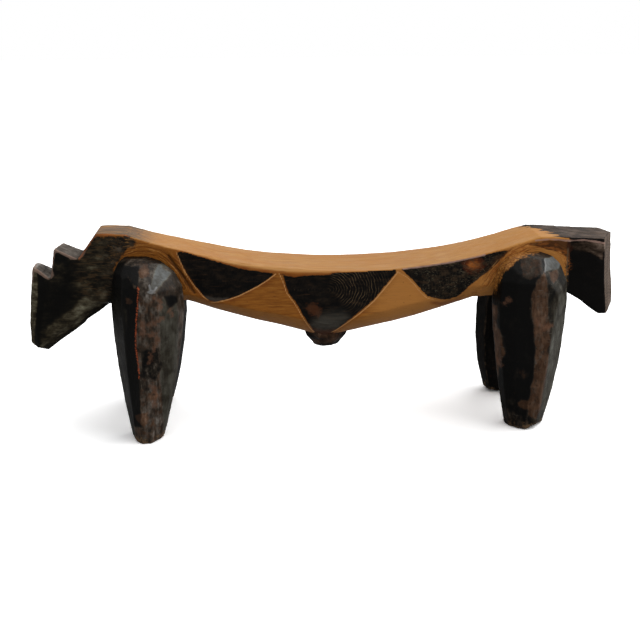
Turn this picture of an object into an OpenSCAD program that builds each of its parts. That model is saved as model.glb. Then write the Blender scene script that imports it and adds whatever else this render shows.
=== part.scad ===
// Carved wooden headrest in the form of a four-legged animal: a saddle-backed beam with a
// V-shaped belly, a stepped head at -X, a hooked tail at +X, four tapering faceted legs and a
// small knob under the belly. The floor is z = 0 and the origin is under the middle of the
// object. The animal's left side is -Y, which is the side that is usually shown.

/* [Overall] */
// Length from the snout to the end of the tail
overall_l = 466; // [436:1:496]
// Height of the crest above the floor
crest_z = 154; // [149:0.5:162]
// Height of the beam's underside between the legs of a pair
underside_z = 98; // [92:0.5:103]

/* [Beam] */
// Lowest height of the saddle that the neck rests on
saddle_z = 123; // [119:0.5:126]
// Radius of the saddle's curve, seen from the side
saddle_r = 478; // [438:4:538]
// Distance from the middle of the object to the lowest point of the saddle
saddle_x = 14; // [4:0.5:24]
// Widest width of the beam, seen from above
beam_w = 57; // [52:1:64]
// Distance from the middle of the object to the widest place
widest_x = 46.5; // [30:0.5:70]
// Width of the beam where the head begins
neck_w = 31; // [27:1:35]
// Lowest height of the belly, at the point of the V
belly_z = 66; // [62:1:74]
// Distance of the point of the V from the middle of the object, towards the head
belly_shift = 4; // [0:0.5:8]
// Distance from the point of the V to the belly's bend, on the way to the hind legs
bend_l = 54; // [40:1:68]
// Rise of the belly over that distance
bend_rise = 11; // [8:0.5:13]
// Distance from the end of the V's slope to the hind legs
groin_l = 10; // [7:0.5:14]
// Depth of the beam's underside below its height at the front, beside the hind legs
groin_drop = 1.5; // [0.5:0.25:3]
// Width of the narrow flat along the keel
keel_flat_w = 14; // [10:1:18]
// Radius of the rounded bilge between the flat keel and the flanks
bilge_r = 33; // [31:1:38]

/* [Head] */
// Length of the head, from the neck to the snout
head_l = 41.5; // [38:0.5:46]
// Run of the sloping face between the neck and the crest
brow_l = 14.5; // [11:0.5:18]
// Height of the notch at the neck
neck_notch_z = 134; // [131:0.5:138]
// Height of the tip of the step between the notches
step_tip_z = 142; // [140:0.5:146]
// Length of that step, from its tip to the neck
step_l = 16.5; // [14:0.5:19]
// Height of the notch behind the snout
snout_notch_z = 119.5; // [116:0.5:124]
// Lean of the riser behind the snout
riser_lean = 4; // [2:0.5:6]
// Height of the snout's top edge
snout_top_z = 128.5; // [126:0.5:133]
// Lean of the snout's front face at its top
snout_lean = 7; // [4:0.5:9]
// Height of the lowest point of the jaw
jaw_z = 60.5; // [56:0.5:65]
// Distance from the neck to the throat, where the jaw's slope meets the beam's underside
throat_l = 20.5; // [18:0.5:24]
// Length of the small facet under the snout
chin_l = 12.5; // [10:0.5:14]
// Rise of that facet
chin_rise = 7.5; // [5:0.5:9]
// Width of the flat under the jaw, between its bevels
jaw_flat_w = 16; // [12:1:20]
// Widest width of the head, behind the snout's chamfers
snout_w = 33; // [29:1:36]
// Length of the chamfers beside the snout
snout_bevel_l = 7; // [5:0.5:9]
// Angle by which the facets on the upper head turn in towards the snout
facet_turn = 10; // [7:0.5:13]
// Angle by which those facets lean in towards the top
facet_lean = 11.5; // [9:0.5:14]

/* [Tail] */
// Length of the tail, from its root to its end
tail_l = 47; // [42:1:52]
// Height of the top edge at the tail's end
tail_top_z = 142.5; // [138:0.5:145]
// Height of the beam's peak, where the saddle ends and the tail's top begins
peak_z = 146.5; // [143:0.5:149]
// Height of the tail's underside at its root
tail_root_z = 101.5; // [99:0.5:105]
// Height of the lowest point of the tail
tail_tip_z = 79; // [76:0.5:84]
// Distance from that rounded tip to the tail's end
tail_toe = 4; // [2:0.5:6]
// Height above the lowest point at which the tail's end face begins
tail_heel = 4.5; // [4:0.5:8]
// Depth of the rim's root below the peak
rim_root = 3; // [2:0.5:5]
// Radius of the rounded tip under the tail
tail_tip_r = 7; // [5:0.5:9]
// Width of the tail's top
tail_w = 47; // [43:1:50]
// Length of the chamfer at the right corner of the tail's end
tail_bevel_l = 6; // [4:0.5:8]
// Angle by which the tail's end face turns to the left side
end_turn = 23; // [15:0.5:27]
// Angle by which that face leans in towards the top
end_lean = 2.5; // [1:0.5:4]
// Thickness of the rim along the tail's top, at its end
tail_rim = 12; // [9:0.5:14]
// Depth of the hollow under that rim, on each flank
rim_depth = 3; // [2:0.5:4]

/* [Legs] */
// Width of a front leg at the shoulder, seen from the side
front_leg_w = 56.5; // [52:0.5:61]
// Gap between the throat, where the jaw meets the beam, and a front leg
throat_gap = 4; // [1:0.5:6]
// Width of a front foot
front_foot_w = 24.5; // [20:0.5:28]
// Distance that a front foot stands in from the front edge of its shoulder
front_foot_in = 12; // [9:0.5:15]
// Width of a hind leg at the shoulder, seen from the side
hind_leg_w = 59; // [54:0.5:63]
// Gap between the root of the tail and a hind leg
tail_gap = 3; // [2:0.5:6]
// Width of a hind foot
hind_foot_w = 30; // [26:0.5:34]
// Distance that a hind foot stands in from the rear edge of its shoulder
hind_foot_in = 17; // [13:1:21]
// Width across the legs' outer faces
stance_w = 114; // [106:1:122]
// Depth of a foot
foot_d = 26; // [21:1:31]
// Depth that the inner face of a leg is let into the beam's flank at its thinnest end
let_in = 2.5; // [1.5:0.25:4]
// Height of the shoulders' widest place above the beam's underside
shoulder_rise = 2; // [1:0.5:5]
// Drop from the crest to the top of the front legs
front_top_drop = 17.5; // [14:0.5:22]
// Drop from the crest to the top of the hind legs
hind_top_drop = 19; // [16:0.5:23]
// Amount by which the right front leg is slimmer at its rear edge
right_front_trim = 3.5; // [1:0.5:6]
// Amount by which the right hind leg is slimmer at its front edge
right_hind_trim = 4; // [1:0.5:7]

/* [Knob] */
// Length of the belly knob where it leaves the keel
knob_l = 30; // [24:1:35]
// Width of the belly knob where it leaves the keel
knob_w = 26; // [20:1:30]
// Distance of the knob's middle from the point of the V, towards the tail
knob_shift = 1.5; // [0:0.5:3]
// Distance that the knob stands below the belly
knob_drop = 9.5; // [7:0.5:13]

/* [Hidden] */

// Sides of the large arcs, which are a few hundredths of a millimetre from true at this count
ARC_SIDES = 720;
// Sides of the small rounds
ROUND_SIDES = 96;
// Size that is larger than the whole object, for cutters and extrusions
BEYOND = 600;

honey = [0.62, 0.40, 0.19];
umber = [0.16, 0.11, 0.08];

// Stations along the length
snout_x = -overall_l / 2;
tail_x = overall_l / 2;
neck_x = snout_x + head_l;
tail_root_x = tail_x - tail_l;
crest_x = neck_x + brow_l;

// The jaw's slope runs from the chin up to the throat, just ahead of the front legs
jaw_x = snout_x + chin_l;
throat_x = neck_x + throat_l;

// Edges of the legs at the shoulder and on the floor
front_lo = throat_x + throat_gap;
front_hi = front_lo + front_leg_w;
front_foot_lo = front_lo + front_foot_in;
front_foot_hi = front_foot_lo + front_foot_w;
hind_hi = tail_root_x - tail_gap;
hind_lo = hind_hi - hind_leg_w;
hind_foot_hi = hind_hi - hind_foot_in;
hind_foot_lo = hind_foot_hi - hind_foot_w;
shoulder_z = underside_z + shoulder_rise;
front_top_z = crest_z - front_top_drop;
hind_top_z = crest_z - hind_top_drop;

// The flanks are arcs seen from above, through the widest place and the neck
plan_rise = (beam_w - neck_w) / 2;
plan_r = (pow(widest_x - neck_x, 2) + pow(plan_rise, 2)) / (2 * plan_rise);
function flank_y(x) = beam_w / 2 - plan_r + sqrt(pow(plan_r, 2) - pow(x - widest_x, 2));
front_in = flank_y(front_lo) - let_in;
hind_in = flank_y(hind_hi) - let_in;

// The belly's V has its point under the saddle and ends beside the legs
belly_x = -belly_shift;
bend_x = belly_x + bend_l;
bend_z = belly_z + bend_rise;
groin_x = hind_lo - groin_l;
groin_z = underside_z - groin_drop;
saddle_cz = saddle_z + saddle_r;
// Where the saddle's arc reaches a height, on the side that sign names
function saddle_reach(z, sign) =
    saddle_x + sign * sqrt(pow(saddle_r, 2) - pow(saddle_cz - z, 2));
peak_x = saddle_reach(peak_z, 1);

// The rounded tip of the tail, where the underside touches it and where it turns upwards
tip_c = [tail_x - tail_tip_r - tail_toe, tail_tip_z + tail_tip_r];
tip_v = [tip_c.x - tail_root_x, tail_root_z - tip_c.y];
tip_slope = atan2(tip_v.y, tip_v.x) + asin(tail_tip_r / norm(tip_v));
tip_touch = tip_c - tail_tip_r * [sin(tip_slope), cos(tip_slope)];
tip_turn = tip_c + tail_tip_r * [sin(52), -cos(52)];

// Depth of the keel's flat inside the round of the bilge
keel_rise = sqrt(pow(bilge_r, 2) - pow(keel_flat_w / 2, 2));

// Knife facets of a leg, as [across, outwards]: across runs from -1 at the front edge to 1 at
// the rear edge, and outwards from 0 on the inner face to 1 on the outer face
FRONT_FACETS = [[-0.75, 0], [0.75, 0], [1, 0.45], [0.83, 0.72], [0.32, 0.97], [-0.24, 1],
    [-0.64, 0.8], [-1, 0.34]];
HIND_FACETS = [[-0.75, 0], [0.75, 0], [1, 0.34], [0.62, 0.76], [0.08, 1], [-0.5, 0.82],
    [-0.86, 0.58], [-1, 0.28]];
// Knife facets over a shoulder's crown, as [across the leg, drop below its top, depth behind its
// outer face, turn, lean]: turn and lean are the way that the facet faces
FRONT_CROWN = [[0.1, 10, 10, 91, 47], [0.33, 10.5, 15, 62, 50], [0.7, 16, 13, 42, 27],
    [-0.6, 13, 12, 137, 34]];
HIND_CROWN = [[-0.1, 8.5, 12, 107, 48], [0.3, 8, 14, 56, 41], [0.6, 21, 13, 44, 22],
    [-0.72, 16, 12, 138, 28]];
KNOB_FACETS = [for (i = [0:7]) [cos(45 * i + 22.5), sin(45 * i + 22.5)]];
// Rings of the knob, as its height and its size in shares of the drop and the width
KNOB_STEPS = [[0, 0.52], [0.24, 0.74], [0.75, 0.92], [1.6, 1.08]];

// Rings of a leg, as shares of the height to the shoulder and from there to the top
SHANK_STEPS = [0, 0.1, 0.28, 0.52, 0.78, 1];
DOME_STEPS = [0.45, 0.72, 0.9, 0.985];
DOME_POWER = 2.7;

function mix(a, b, t) = a + (b - a) * t;
// A shank swells quickly above the foot and slowly below the shoulder
function swell(t) = 1 - pow(1 - t, 1.6);
function dome(t) = pow(1 - pow(t, DOME_POWER), 1 / DOME_POWER);

// One ring of a leg's facets at a height: lo and hi are its edges, inner and outer its faces
function ring(facets, z, lo, hi, inner, outer) =
    [for (f = facets) [mix(lo, hi, (f.x + 1) / 2), mix(inner, outer, f.y), z]];

function shank_rings(facets, foot, shoulder, inner) =
    [for (t = SHANK_STEPS)
        ring(facets, shoulder_z * t, mix(foot[0], shoulder[0], swell(t)),
            mix(foot[1], shoulder[1], swell(t)), mix(stance_w / 2 - foot_d, inner, t),
            stance_w / 2)];

function dome_rings(facets, shoulder, inner, top_z, top_x) =
    [for (t = DOME_STEPS)
        ring(facets, mix(shoulder_z, top_z, t / DOME_STEPS[3]),
            mix(top_x, shoulder[0], dome(t)), mix(top_x, shoulder[1], dome(t)),
            inner, mix(inner, stance_w / 2, dome(t)))];

// A closed solid through rings of points that all have the same number of corners
module loft(rings) {
    n = len(rings[0]);
    last = len(rings) - 1;
    polyhedron(
        points = [for (r = rings) each r],
        faces = concat(
            [[for (i = [0:n - 1]) i]],
            [for (k = [0:last - 1], i = [0:n - 1]) each
                let (a = k * n + i, b = k * n + (i + 1) % n)
                [[a, a + n, b], [b, a + n, b + n]]],
            [[for (i = [n - 1:-1:0]) last * n + i]]),
        convexity = 4);
}

// A leg of the +Y side; peak is the place of its highest point across the shoulder
module leg(facets, crown, foot, shoulder, inner, top_z, peak) {
    difference() {
        loft(concat(shank_rings(facets, foot, shoulder, inner),
            dome_rings(facets, shoulder, inner, top_z, mix(shoulder[0], shoulder[1], peak))));
        for (c = crown)
            facet_cutter([mix(shoulder[0], shoulder[1], (c[0] + 1) / 2), stance_w / 2 - c[2],
                top_z - c[1]], c[3], c[4]);
    }
}

module front_leg(trim = 0) {
    leg(FRONT_FACETS, FRONT_CROWN, [front_foot_lo, front_foot_hi - trim / 7],
        [front_lo, front_hi - trim], front_in, front_top_z, 0.28);
}

module hind_leg(trim = 0) {
    leg(HIND_FACETS, HIND_CROWN, [hind_foot_lo + trim / 7, hind_foot_hi], [hind_lo + trim, hind_hi],
        hind_in, hind_top_z, 0.5);
}

module all_legs() {
    mirror([0, 1, 0]) front_leg();
    front_leg(right_front_trim);
    mirror([0, 1, 0]) hind_leg();
    hind_leg(right_hind_trim);
}

// Side outline of the whole carving, without the saddle: x along the length, y upwards
module side_outline() {
    polygon([
        [snout_x, jaw_z + chin_rise],
        [jaw_x, jaw_z],
        [throat_x, underside_z],
        [front_hi, underside_z],
        [belly_x, belly_z],
        [bend_x, bend_z],
        [groin_x, groin_z],
        [hind_hi - hind_foot_in, underside_z],
        [tail_root_x, tail_root_z],
        tip_touch,
        tip_c,
        tip_turn,
        [tail_x, tail_tip_z + tail_heel],
        [tail_x, tail_top_z],
        [peak_x, peak_z],
        [saddle_reach(crest_z, -1), crest_z],
        [crest_x, crest_z],
        [neck_x, neck_notch_z],
        [neck_x - step_l, step_tip_z],
        [neck_x - step_l - riser_lean, snout_notch_z],
        [snout_x + snout_lean, snout_top_z]
    ]);
    translate(tip_c) circle(tail_tip_r, $fn = ROUND_SIDES);
}

// The side outline as a plate that is wider than the whole carving
module side_plate() {
    rotate([90, 0, 0]) linear_extrude(2 * beam_w, center = true) side_outline();
}

// The round that hollows the saddle
module saddle_round() {
    translate([saddle_x, 0, saddle_cz]) rotate([90, 0, 0])
        cylinder(h = 3 * beam_w, r = saddle_r, center = true, $fn = ARC_SIDES);
}

// Outline of the head seen from above
module head_plan() {
    chamfer = snout_bevel_l * 0.75;
    polygon([
        [neck_x + 0.01, -neck_w / 2],
        [neck_x + 0.01, neck_w / 2],
        [snout_x + snout_bevel_l, snout_w / 2],
        [snout_x, snout_w / 2 - chamfer],
        [snout_x, chamfer - snout_w / 2],
        [snout_x + snout_bevel_l, -snout_w / 2]
    ]);
}

// Outline of the tail seen from above, before its end face is cut
module tail_plan() {
    root_y = flank_y(tail_root_x);
    polygon([
        [tail_root_x - 0.01, root_y],
        [tail_root_x - 0.01, -root_y],
        [tail_x, -tail_w / 2],
        [tail_x, tail_w / 2 - tail_bevel_l * 0.75],
        [tail_x - tail_bevel_l, tail_w / 2]
    ]);
}

// Both flanks of the beam, as two wide arcs
module beam_plan() {
    intersection() {
        translate([widest_x, beam_w / 2 - plan_r]) circle(plan_r, $fn = ARC_SIDES);
        translate([widest_x, plan_r - beam_w / 2]) circle(plan_r, $fn = ARC_SIDES);
        translate([neck_x, -beam_w]) square([tail_root_x - neck_x, 2 * beam_w]);
    }
}

// A prism along a line of the underside from a to b, whose section is the child shape: its x
// is across the object, and its y is square to the line
module along(a, b, before = 0, after = 0) {
    slope = atan2(b.y - a.y, b.x - a.x);
    translate([a.x, 0, a.y]) rotate([0, -slope, 0]) translate([-before, 0, 0])
        rotate([90, 0, 90]) linear_extrude(norm(b - a) + before + after) children();
}

// Section of the beam: a rounded bilge under straight flanks
module bilge_section() {
    translate([0, keel_rise]) {
        circle(bilge_r, $fn = ROUND_SIDES * 2);
        translate([-bilge_r, 0]) square([2 * bilge_r, crest_z]);
    }
}

// Section of the head: a flat underside between two bevels
module jaw_section() {
    out = jaw_flat_w / 2;
    polygon([[out - 5, -5], [out + 15, 15], [out + 15, crest_z], [-out - 15, crest_z],
        [-out - 15, 15], [5 - out, -5]]);
}

// Section of the tail: a rim, over flanks that are hollowed and draw in below. The rim's
// lower edge is at the height 0 of the section
module tail_section() {
    top_y = tail_w / 2;
    waist_y = top_y - rim_depth;
    polygon([
        [4 - waist_y, -90],
        [waist_y - 4, -90],
        [waist_y, -rim_depth],
        [top_y + 1, 1],
        [top_y + 1, 60],
        [-top_y - 1, 60],
        [-top_y - 1, 1],
        [-waist_y, -rim_depth]
    ]);
}

// The belly: the slopes of the keel, which meet at the point of the V and at the bend
module belly() {
    intersection() {
        along([front_hi, underside_z], [belly_x, belly_z], before = 70, after = 200)
            bilge_section();
        along([belly_x, belly_z], [bend_x, bend_z], before = 200, after = 150)
            bilge_section();
        along([bend_x, bend_z], [groin_x, groin_z], before = 200, after = 60)
            bilge_section();
    }
}

// Everything above the shaped underside, from the throat to the root of the tail
module underside() {
    along([jaw_x, jaw_z], [throat_x, underside_z], before = 30, after = 12) jaw_section();
    along([neck_x - 20, underside_z], [front_hi, underside_z], after = 20) bilge_section();
    belly();
    along([groin_x - knob_l, groin_z], [tail_root_x, groin_z], after = knob_l)
        bilge_section();
}

// A block that leaves a flat facet through a point; turn and lean point away from the wood
module facet_cutter(point, turn, lean) {
    translate(point) rotate([0, -lean, turn])
        translate([0, -BEYOND / 2, -BEYOND / 2]) cube(BEYOND);
}

// The two facets that narrow the upper head towards its tips
module head_facets() {
    for (side = [-1, 1])
        facet_cutter([neck_x, side * neck_w / 2, step_tip_z - 2],
            side * (90 + facet_turn), facet_lean);
}

module saddle_beam() {
    color(honey) difference() {
        intersection() {
            side_plate();
            linear_extrude(crest_z + 1) beam_plan();
            underside();
        }
        saddle_round();
        all_legs();
    }
}

module stepped_head() {
    color(umber) difference() {
        intersection() {
            side_plate();
            linear_extrude(crest_z + 1) head_plan();
            along([jaw_x, jaw_z], [throat_x, underside_z], before = 30, after = 12)
                jaw_section();
            translate([snout_x - 1, -beam_w, 0]) cube([head_l + 1, 2 * beam_w, crest_z]);
        }
        head_facets();
    }
}

module hooked_tail() {
    color(umber) difference() {
        intersection() {
            side_plate();
            linear_extrude(crest_z + 1) tail_plan();
            along([tail_root_x, peak_z - rim_root], [tail_x, tail_top_z - tail_rim],
                before = tail_l, after = tail_l)
                tail_section();
            translate([tail_root_x, -beam_w, 0]) cube([tail_l + 1, 2 * beam_w, crest_z]);
        }
        facet_cutter([tail_x, tail_w / 2 - tail_bevel_l * 0.75, tail_tip_z + tail_heel],
            -end_turn, end_lean);
    }
}

module left_front_leg() {
    color(umber) mirror([0, 1, 0]) front_leg();
}

module right_front_leg() {
    color(umber) front_leg(right_front_trim);
}

module left_hind_leg() {
    color(umber) mirror([0, 1, 0]) hind_leg();
}

module right_hind_leg() {
    color(umber) hind_leg(right_hind_trim);
}

// The knob is seated on the keel, so its top has the belly's shape
module belly_knob() {
    bottom = belly_z - knob_drop;
    rings = [for (s = KNOB_STEPS)
        [for (f = KNOB_FACETS)
            [belly_x + knob_shift + f.x * s[1] * knob_l / 2, f.y * s[1] * knob_w / 2,
                bottom + s[0] * knob_drop]]];
    color(umber) difference() {
        loft(rings);
        belly();
    }
}

saddle_beam();
stepped_head();
hooked_tail();
left_front_leg();
right_front_leg();
left_hind_leg();
right_hind_leg();
belly_knob();
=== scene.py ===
"""The carved wooden headrest, dressed: one block of wood with a rubbed, honey-coloured back, dark
scorched fields on its flanks, and a stained head, tail and legs with worn knife facets."""
import math

import bmesh
import bpy
import numpy as np
from mathutils import Matrix, Vector


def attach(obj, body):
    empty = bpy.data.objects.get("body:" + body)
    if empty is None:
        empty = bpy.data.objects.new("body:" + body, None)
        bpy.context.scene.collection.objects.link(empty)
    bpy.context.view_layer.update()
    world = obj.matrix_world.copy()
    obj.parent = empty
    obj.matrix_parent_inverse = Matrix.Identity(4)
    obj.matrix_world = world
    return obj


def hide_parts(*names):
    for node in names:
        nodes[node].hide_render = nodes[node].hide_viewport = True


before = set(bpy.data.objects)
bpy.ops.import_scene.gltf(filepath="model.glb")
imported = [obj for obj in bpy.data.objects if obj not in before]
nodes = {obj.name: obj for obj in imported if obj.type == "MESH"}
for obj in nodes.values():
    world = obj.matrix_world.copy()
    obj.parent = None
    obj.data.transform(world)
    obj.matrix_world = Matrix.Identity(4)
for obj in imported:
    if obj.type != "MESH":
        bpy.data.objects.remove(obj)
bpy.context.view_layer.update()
scene = bpy.context.scene

# Lengths are in millimetres until a piece is finished
MM = 0.001

# Stations along the length, from the head at -X to the tail at +X
NECK_X = -191.5
CREST_X = -177
THROAT_X = -171
SHOULDER_X = -110.5
BELLY_X = -4
BEND_X = 50
GROIN_X = 114
RUMP_X = 166
ROOT_X = 186
TAIL_X = 233

# Heights and radii of the beam
NECK_Z = 134
CREST_Z = 154
PEAK_Z = 146.5
TAIL_TOP_Z = 142.5
UNDERSIDE_Z = 98
BELLY_Z = 66
BEND_Z = 77
GROIN_Z = 96.5
JAW_Z = 82.5
ROOT_Z = 101.5
SADDLE_X = 14
SADDLE_Z = 123
SADDLE_R = 478
WIDEST_X = 46.5
HALF_W = 28.5
NECK_HALF_W = 15.5
BILGE_R = 33
KEEL_HALF_W = 7
KEEL_RISE = math.sqrt(BILGE_R ** 2 - KEEL_HALF_W ** 2)
JAW_FLAT = 8

# Slopes of the belly, as pairs of points in the side view
BELLY_LINES = [
    ((SHOULDER_X, UNDERSIDE_Z), (BELLY_X, BELLY_Z)),
    ((BELLY_X, BELLY_Z), (BEND_X, BEND_Z)),
    ((BEND_X, BEND_Z), (GROIN_X, GROIN_Z)),
]
# The whole underside in the side view, between the neck and the tail
UNDER_X = [NECK_X, THROAT_X, SHOULDER_X, BELLY_X, BEND_X, GROIN_X, RUMP_X, ROOT_X]
UNDER_Z = [JAW_Z, UNDERSIDE_Z, UNDERSIDE_Z, BELLY_Z, BEND_Z, GROIN_Z, UNDERSIDE_Z, ROOT_Z]

# The flanks are arcs seen from above, and the saddle is an arc seen from the side
PLAN_RISE = HALF_W - NECK_HALF_W
PLAN_R = ((WIDEST_X - NECK_X) ** 2 + PLAN_RISE ** 2) / (2 * PLAN_RISE)
SADDLE_C = (SADDLE_X, SADDLE_Z + SADDLE_R)


def saddle_reach(z, side):
    """Where the saddle's arc reaches a height, on the side of the head or of the tail."""
    return SADDLE_X + side * math.sqrt(SADDLE_R ** 2 - (SADDLE_C[1] - z) ** 2)


CREST_END_X = saddle_reach(CREST_Z, -1)
PEAK_X = saddle_reach(PEAK_Z, 1)

# How fine the skins are
VOXEL = 0.95
KNOB_VOXEL = 0.6
EASING = 0.5
# Keeps the cells of the noises on the positive side
CELL_SHIFT = 5000
# Where a mark is absent, its distance is this
FAR_OFF = 9
# Larger than any distance on the part
HUGE = 1e9
# How far the head and the tail reach into the beam, before the skin is made and split
OVERLAP = 1.5
NUDGE = 0.05


# Small helpers for numbers

def smooth(low, high, value):
    t = np.clip((value - low) / (high - low), 0, 1)
    return t * t * (3 - 2 * t)


def fall(low, high, value):
    return 1 - smooth(low, high, value)


def hump(low, high, edge, value):
    return smooth(low - edge, low + edge, value) * fall(high - edge, high + edge, value)


def toward(value, goal, share):
    return value + (goal - value) * share


def lattice(cell, seed):
    """A repeatable number from 0 to 1 for each whole-numbered cell."""
    x, y, z = (cell[:, k].astype(np.uint64) for k in range(3))
    h = x * np.uint64(73856093) ^ y * np.uint64(19349663) ^ z * np.uint64(83492791)
    h ^= np.uint64(seed * 2654435761 % (1 << 32))
    h = (h ^ (h >> np.uint64(13))) * np.uint64(1274126177)
    h = (h ^ (h >> np.uint64(16))) * np.uint64(2246822519)
    return ((h >> np.uint64(11)) & np.uint64(0xFFFFF)).astype(float) / 0xFFFFF


def value_noise(points, size, seed):
    """Smooth noise from -1 to 1, with features about as large as size."""
    p = points / np.asarray(size, float) + CELL_SHIFT
    cell = np.floor(p)
    f = p - cell
    f = f * f * (3 - 2 * f)
    total = np.zeros(len(p))
    for corner in np.ndindex(2, 2, 2):
        c = np.array(corner, float)
        weight = np.prod(np.where(c > 0, f, 1 - f), axis=1)
        total += weight * lattice(cell + c, seed)
    return total * 2 - 1


def cell_distance(points, size, seed):
    """Distance to the nearest of scattered centres, from 0 at a centre to about 1 between them."""
    p = points / np.asarray(size, float) + CELL_SHIFT
    cell = np.floor(p)
    best = np.full(len(p), HUGE)
    for corner in np.ndindex(3, 3, 3):
        c = cell + np.array(corner, float) - 1
        away = np.zeros(len(p))
        for k in range(3):
            away += (c[:, k] + lattice(c, seed + 7 * k) - p[:, k]) ** 2
        best = np.minimum(best, away)
    return np.sqrt(best)


def sides(points, closed):
    """The ends of each stretch between neighbouring points."""
    return list(zip(points, points[1:])) + ([(points[-1], points[0])] if closed else [])


def segment_distance(px, pz, points, closed=False):
    """Distance to a line through the points."""
    best = np.full(len(px), HUGE)
    for (ax, az), (bx, bz) in sides(points, closed):
        dx, dz = bx - ax, bz - az
        t = np.clip(((px - ax) * dx + (pz - az) * dz) / (dx * dx + dz * dz), 0, 1)
        best = np.minimum(best, np.hypot(px - ax - t * dx, pz - az - t * dz))
    return best


def nearest(distance, px, pz, shapes):
    return np.minimum.reduce([np.full(len(px), HUGE)] + [distance(px, pz, s) for s in shapes])


def area_distance(px, pz, points):
    """Distance to the border of a closed outline, negative inside it."""
    inside = np.zeros(len(px), bool)
    for (ax, az), (bx, bz) in sides(points, True):
        if az != bz:
            crosses = (az > pz) != (bz > pz)
            inside ^= crosses & (px < (bx - ax) * (pz - az) / (bz - az) + ax)
    away = segment_distance(px, pz, points, True)
    return np.where(inside, -away, away)


# The form of the beam

def flank_y(x):
    return HALF_W - PLAN_R + np.sqrt(PLAN_R ** 2 - (x - WIDEST_X) ** 2)


def saddle_z(x):
    return SADDLE_C[1] - np.sqrt(SADDLE_R ** 2 - (x - SADDLE_C[0]) ** 2)


def top_z(x):
    x = np.asarray(x, float)
    brow = NECK_Z + (x - NECK_X) / (CREST_X - NECK_X) * (CREST_Z - NECK_Z)
    rear = PEAK_Z + (x - PEAK_X) / (TAIL_X - PEAK_X) * (TAIL_TOP_Z - PEAK_Z)
    z = np.select([x < CREST_X, x < CREST_END_X, x < PEAK_X],
                  [brow, CREST_Z, saddle_z(x)], rear)
    # The hand-cut top strays from the arc: full beside the shoulders, flat behind the crest
    z += 0.3 + 0.5 * hump(-122, -84, 12, x) - 0.5 * hump(-166, -132, 8, x)
    z -= 0.4 * hump(80, 132, 14, x)
    for crease in (CREST_END_X, PEAK_X):
        z -= 0.45 * np.exp(-((x - crease) / 7) ** 2)
    return z - 0.3 * np.exp(-((x - CREST_X) / 3.5) ** 2)


def bilge(y):
    return np.maximum(KEEL_RISE - np.sqrt(BILGE_R ** 2 - y ** 2), 0)


def under_z(x, y):
    """Height of the underside: a flat keel between two rounded bilges."""
    heights = []
    for (ax, az), (bx, bz) in BELLY_LINES:
        slope = (bz - az) / (bx - ax)
        heights.append(az + (x - ax) * slope + bilge(y) * math.hypot(1, slope))
    z = np.maximum.reduce(heights)
    z = np.where(x < SHOULDER_X + 20, np.minimum(z, UNDERSIDE_Z + bilge(y)), z)
    z = np.where(x > GROIN_X - 30, np.minimum(z, GROIN_Z + bilge(y)), z)
    jaw = np.interp(x, UNDER_X, UNDER_Z) + np.maximum(np.abs(y) - JAW_FLAT, 0) * 1.24
    z = np.where(x < THROAT_X, np.minimum(z, jaw), z)
    z = np.maximum(z, np.interp(x, UNDER_X, UNDER_Z))
    return z - hump(-98, -48, 12, x) - 1.2 * hump(58, 124, 12, x)


def loft(rings):
    """Points and faces of a closed shell through rings of equally many points."""
    n = len(rings[0])
    faces = [(a + i, a + (i + 1) % n, a + n + (i + 1) % n, a + n + i)
             for a in range(0, n * (len(rings) - 1), n) for i in range(n)]
    verts = [point for ring in rings for point in ring]
    faces += [tuple(range(n))[::-1], tuple(range(len(verts) - n, len(verts)))]
    return verts, faces


def beam_shell():
    """Points and faces of the beam without the legs, as a loft through its sections."""
    marks = [NECK_X, CREST_X, CREST_END_X, THROAT_X, SHOULDER_X, BELLY_X, BEND_X, GROIN_X, PEAK_X]
    stations = np.unique(np.concatenate([np.arange(NECK_X, ROOT_X, 2), marks, [ROOT_X]]))
    across, up = 25, 16
    rings = []
    for x in stations:
        w = float(flank_y(x))
        top = float(top_z(x))
        ys = np.linspace(-w, w, across)
        zs = under_z(np.full(across, x), ys)
        rise = np.linspace(zs[-1], top, up)[1:-1]
        rings.append([(x, y, z) for y, z in zip(ys, zs)] + [(x, w, z) for z in rise]
                     + [(x, y, top) for y in ys[::-1]] + [(x, -w, z) for z in rise[::-1]])
    return loft(rings)


def numbers(items, name, width=3, kind=float):
    """One property of every item of a mesh, as rows."""
    values = np.empty(len(items) * width, kind)
    items.foreach_get(name, values)
    return values.reshape(-1, width)


def node_shell(name, change):
    """Points and faces of a CAD node in millimetres, with the points changed a little."""
    mesh = nodes[name].data
    co = change(points_of(mesh) / MM)
    return [tuple(p) for p in co], [tuple(f.vertices) for f in mesh.polygons]


def shell_mesh(name, shells):
    verts, faces = [], []
    for v, f in shells:
        start = len(verts)
        verts += v
        faces += [tuple(i + start for i in face) for face in f]
    mesh = bpy.data.meshes.new(name)
    mesh.from_pydata(verts, [], faces)
    mesh.update()
    return mesh


def remeshed(mesh, voxel, rounds):
    """An even skin over the shells, with its edges eased as by long handling."""
    obj = bpy.data.objects.new("work", mesh)
    scene.collection.objects.link(obj)
    skin = obj.modifiers.new("skin", "REMESH")
    skin.mode = "VOXEL"
    skin.voxel_size = voxel
    ease = obj.modifiers.new("ease", "SMOOTH")
    ease.factor = EASING
    ease.iterations = rounds
    made = obj.evaluated_get(bpy.context.evaluated_depsgraph_get())
    result = bpy.data.meshes.new_from_object(made)
    bpy.data.objects.remove(obj)
    bpy.data.meshes.remove(mesh)
    return result


def points_of(mesh):
    return numbers(mesh.vertices, "co")


def set_points(mesh, co):
    mesh.vertices.foreach_set("co", co.ravel())
    mesh.update()


def normals_of(mesh):
    return numbers(mesh.vertices, "normal")


def surface(mesh):
    return points_of(mesh), normals_of(mesh)


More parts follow.
